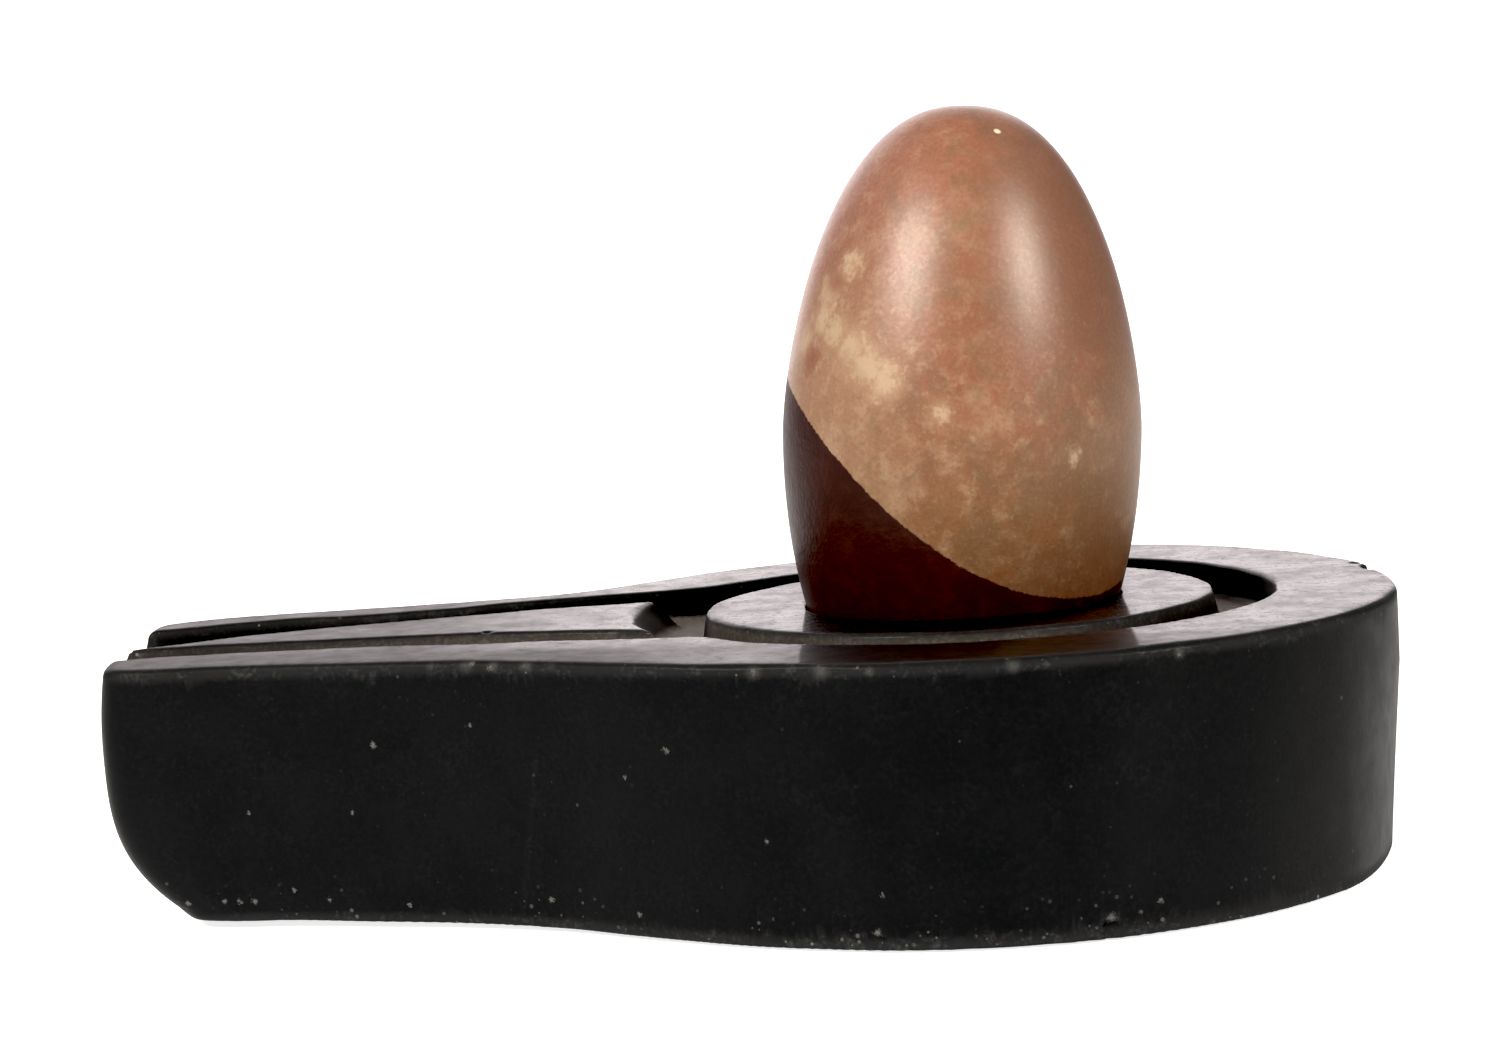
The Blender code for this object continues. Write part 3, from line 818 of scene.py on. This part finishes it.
def riverStoneFinish():
    material, maker, shader = newFinish("river_stone")
    coords = maker.out(maker.node("ShaderNodeTexCoord"), "Object")
    x, y, z = stoneLook["widest"]
    local = maker.node("ShaderNodeMapping", {"vector_type": "TEXTURE"},
                       {"Vector": coords, "Location": ((x + centreX) * mm, (y + centreY) * mm, z * mm),
                        "Rotation": (0.0, stoneLook["lean"], 0.0), "Scale": (mm, mm, mm)})
    place = maker.out(local)
    x, y, z = maker.split(place)
    broad = maker.noise(place, 0.09, 3.0, 0.5)
    cloud = maker.noise(place, 0.22, 4.0, 0.6, 0.4)
    mottle = maker.noise(place, 0.7, 4.0, 0.6)
    grain = maker.noise(place, 2.8, 3.0, 0.6)
    fine = maker.noise(place, 8.0, 2.0, 0.5)
    # Tan part: rosy towards the top, amber in the middle, khaki low down
    low = maker.ramp(z + (cloud - 0.5) * 14.0, -9.0, 6.0, 1.0, 0.0)
    high = maker.ramp(z + (broad - 0.5) * 16.0, 12.0, 24.0)
    tan = maker.mixed(low, stoneColours["amber"], stoneColours["khaki"])
    tan = maker.mixed(high, tan, stoneColours["rose"])
    fewer = 1.0 - maker.ramp(z, 10.0, 18.0) * 0.35
    tan = maker.mixed(maker.ramp(cloud, 0.46, 0.74) * 0.38 * fewer, tan, stoneColours["pale"])
    tan = maker.mixed(maker.ramp(mottle, 0.48, 0.76) * 0.42 * fewer, tan, stoneColours["pale"])
    tan = maker.mixed(maker.ramp(mottle, 0.47, 0.32) * 0.35, tan, stoneColours["rust"])
    # Painted light: the left side, below its top, is made paler as if lit more from the left
    paintedLeftLight = maker.ramp(x, -3.0, -11.0) * maker.ramp(z, 17.0, 7.0)
    tan = maker.mixed(paintedLeftLight * 0.32, tan, stoneColours["pale"])
    # Olive mottling, which leans towards the right: the mottling is the stone's own colour, the lean to the
    # right is painted shade
    shade = maker.noise(maker.vector("ADD", place, (31.0, 7.0, 3.0)), 0.30, 4.0, 0.65, 0.5)
    tan = maker.mixed(maker.ramp(shade + x * 0.012, 0.40, 0.68) * 0.75, tan, stoneColours["olive"])
    # Browner towards the upper right: partly the stone's own brown mottling, partly painted shade on that
    # side
    brownAndShadedUpperRight = maker.ramp(x - y * 0.3 + (mottle - 0.5) * 6.0, 0.5, 8.5) * maker.ramp(z, 2.0, 13.0)
    tan = maker.mixed(brownAndShadedUpperRight * 0.72, tan, stoneColours["brown"])
    # Painted shade: browner low down on the right, next to the base, where the base shades the stone
    foot = maker.ramp(z, -5.0, -14.0) * maker.ramp(x, -2.0, 8.0)
    tan = maker.mixed(foot * 0.75, tan, stoneColours["brown"])
    tan = maker.mixed(maker.ramp(grain * 0.6 + fine * 0.4, 0.50, 0.36) * 0.25, tan, stoneColours["rust"])
    tan = maker.mixed(maker.ramp(grain * 0.5 + fine * 0.5, 0.54, 0.70) * 0.22, tan, stoneColours["pale"])
    wobble = (mottle - 0.5) * 4.5 + (grain - 0.5) * 1.6
    patches = None
    for px, py, pz, radius in stoneColours["patches"]:
        patch = spot(maker, place, (px, py, pz), radius, 1.0, wobble)
        patches = patch if patches is None else maker.math("MAXIMUM", patches, patch)
    tan = maker.mixed(patches * 0.92, tan, stoneColours["pale"])
    for px, py, pz, radius in stoneColours["rusty"]:
        tan = maker.mixed(spot(maker, place, (px, py, pz), radius, 0.7, wobble * 0.5) * 0.7, tan,
                          stoneColours["rust"])
    px, py, pz, radius = stoneColours["paleDot"]
    tan = maker.mixed(spot(maker, place, (px, py, pz), radius, 0.12, (grain - 0.5) * 0.2), tan,
                      stoneColours["dot"])
    # Maroon part: below a slightly dished plane across the stone
    bound = z + 7.48 + x * 0.540 - y * 0.228 - x * x * 0.0179
    ragged = (mottle - 0.5) * 0.45 + (grain - 0.5) * 0.30 + (fine - 0.5) * 0.12
    isMaroon = maker.ramp(bound + ragged, -0.10, 0.10, 1.0, 0.0)
    maroon = maker.mixed(maker.ramp(mottle * 0.6 + cloud * 0.4, 0.45, 0.70), stoneColours["maroon"],
                         stoneColours["maroonWarm"])
    colour = maker.mixed(isMaroon, tan, maroon)
    feed(maker, shader, "Base Color", colour)
    feed(maker, shader, "Roughness", stoneColours["roughness"] + (mottle - 0.5) * 0.12 - isMaroon * 0.06)
    shader.inputs["Specular IOR Level"].default_value = 0.12
    # The tan part took a better polish than the maroon
    sheen = maker.ramp(z, -8.0, 8.0, 0.12, 1.0) * maker.ramp(grain, 0.30, 0.60, 0.75, 1.0)
    feed(maker, shader, "Coat Weight", (1.0 - isMaroon) * sheen)
    shader.inputs["Coat Roughness"].default_value = stoneColours["sheenRoughness"]
    shader.inputs["Coat IOR"].default_value = 1.5
    bumped(maker, shader, mottle * 0.11 + grain * 0.030 + fine * 0.008, mm, 0.7)
    return material


base = makeBase()
base.data.materials.append(blackStoneFinish())
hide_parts("yoni_base")
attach(base, "root")

stone = makeStone(riverStoneFinish())
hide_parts("lingam_stone")
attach(stone, "root")
print("pieces made")


# Pale all round, and much the brightest straight behind the stone
studio = {
    "round": 0.20,
    "behind": 1.8,
    "left": 0.45,
    "above": 0.16,
    "tint": (1.0, 0.90, 0.91),
    "lightTint": (1.0, 0.91, 0.79),
    "floor": rgb(0.88, 0.88, 0.88),
    "floorGlow": 0.80,
    "floorSides": 0.25,
    "floorReach": 40.0,
    "blackPoint": 0.020,
    # Softboxes: bearing and height in degrees, distance, width and height in metres, and power
    "softboxes": {
        "left softbox": (-47.0, 37.0, 0.8, 0.36, 0.22, 7.6),
        "right softbox": (49.5, 31.0, 0.8, 0.25, 0.27, 6.0),
    },
}


def makeFloor():
    mesh = bpy.data.meshes.new("floor")
    reach = studio["floorReach"]
    corners = [(-reach, -reach), (reach, -reach), (reach, reach), (-reach, reach)]
    mesh.from_pydata([(x, y, -0.0002) for x, y in corners], [], [(0, 1, 2, 3)])
    floor = bpy.data.objects.new("floor", mesh)
    bpy.context.scene.collection.objects.link(floor)
    material, maker, shader = newFinish("pale_floor")
    shader.inputs["Base Color"].default_value = studio["floor"]
    shader.inputs["Roughness"].default_value = 0.7
    # Painted light: the floor glows strongly in a strip that runs away behind the stone, and less around it
    x, y, z = maker.split(maker.out(maker.node("ShaderNodeTexCoord"), "Object"))
    infront = maker.math("MAXIMUM", -0.05 - y, 0.0)
    aside = maker.math("ABSOLUTE", x + 0.02) - maker.math("MAXIMUM", y, 0.0) * 0.25 + infront
    glow = maker.ramp(aside, 0.08, 0.20, 1.0, studio["floorSides"])
    feed(maker, shader, "Emission Color", maker.joined(glow, glow, glow))
    shader.inputs["Emission Strength"].default_value = studio["floorGlow"]
    mesh.materials.append(material)


def makeWorld():
    world = bpy.data.worlds.new("studio")
    world.use_nodes = True
    maker = Maker(world.node_tree)
    ground = world.node_tree.nodes["Background"]
    direction = maker.out(maker.node("ShaderNodeTexCoord"), "Generated")
    x, y, z = maker.split(direction)
    aside = maker.math("ABSOLUTE", x + 0.07)
    behind = maker.ramp(y, 0.05, 0.35) * maker.ramp(aside, 0.52, 0.32) * studio["behind"]
    behind = behind * maker.ramp(z, 0.80, 0.35)
    left = maker.ramp(x, -0.15, -0.85) * maker.ramp(z, 0.10, 0.50) * studio["left"]
    side = studio["round"] + left + maker.ramp(z, 0.3, 0.9) * studio["above"]
    red, green, blue = (side + behind * share for share in studio["tint"])
    maker.tree.links.new(maker.joined(red, green, blue).socket, ground.inputs["Color"])
    bpy.context.scene.world = world
    settings = bpy.context.scene.view_settings
    settings.view_transform = "Standard"
    settings.use_curve_mapping = True
    black = studio["blackPoint"]
    settings.curve_mapping.black_level = (black, black, black)
    settings.curve_mapping.update()


def makeLight(name, azimuth, elevation, distance, width, height, power):
    data = bpy.data.lights.new(name, "AREA")
    data.color = studio["lightTint"]
    data.shape = "RECTANGLE"
    data.size = width
    data.size_y = height
    data.energy = power
    light = bpy.data.objects.new(name, data)
    bpy.context.scene.collection.objects.link(light)
    target = Vector((centreX * mm, centreY * mm, 0.04))
    a, e = math.radians(azimuth), math.radians(elevation)
    away = Vector((math.sin(a) * math.cos(e), -math.cos(a) * math.cos(e), math.sin(e)))
    light.location = target + away * distance
    light.rotation_euler = away.to_track_quat("Z", "Y").to_euler()


makeFloor()
makeWorld()
for name, settings in studio["softboxes"].items():
    makeLight(name, *settings)
print("lights set")
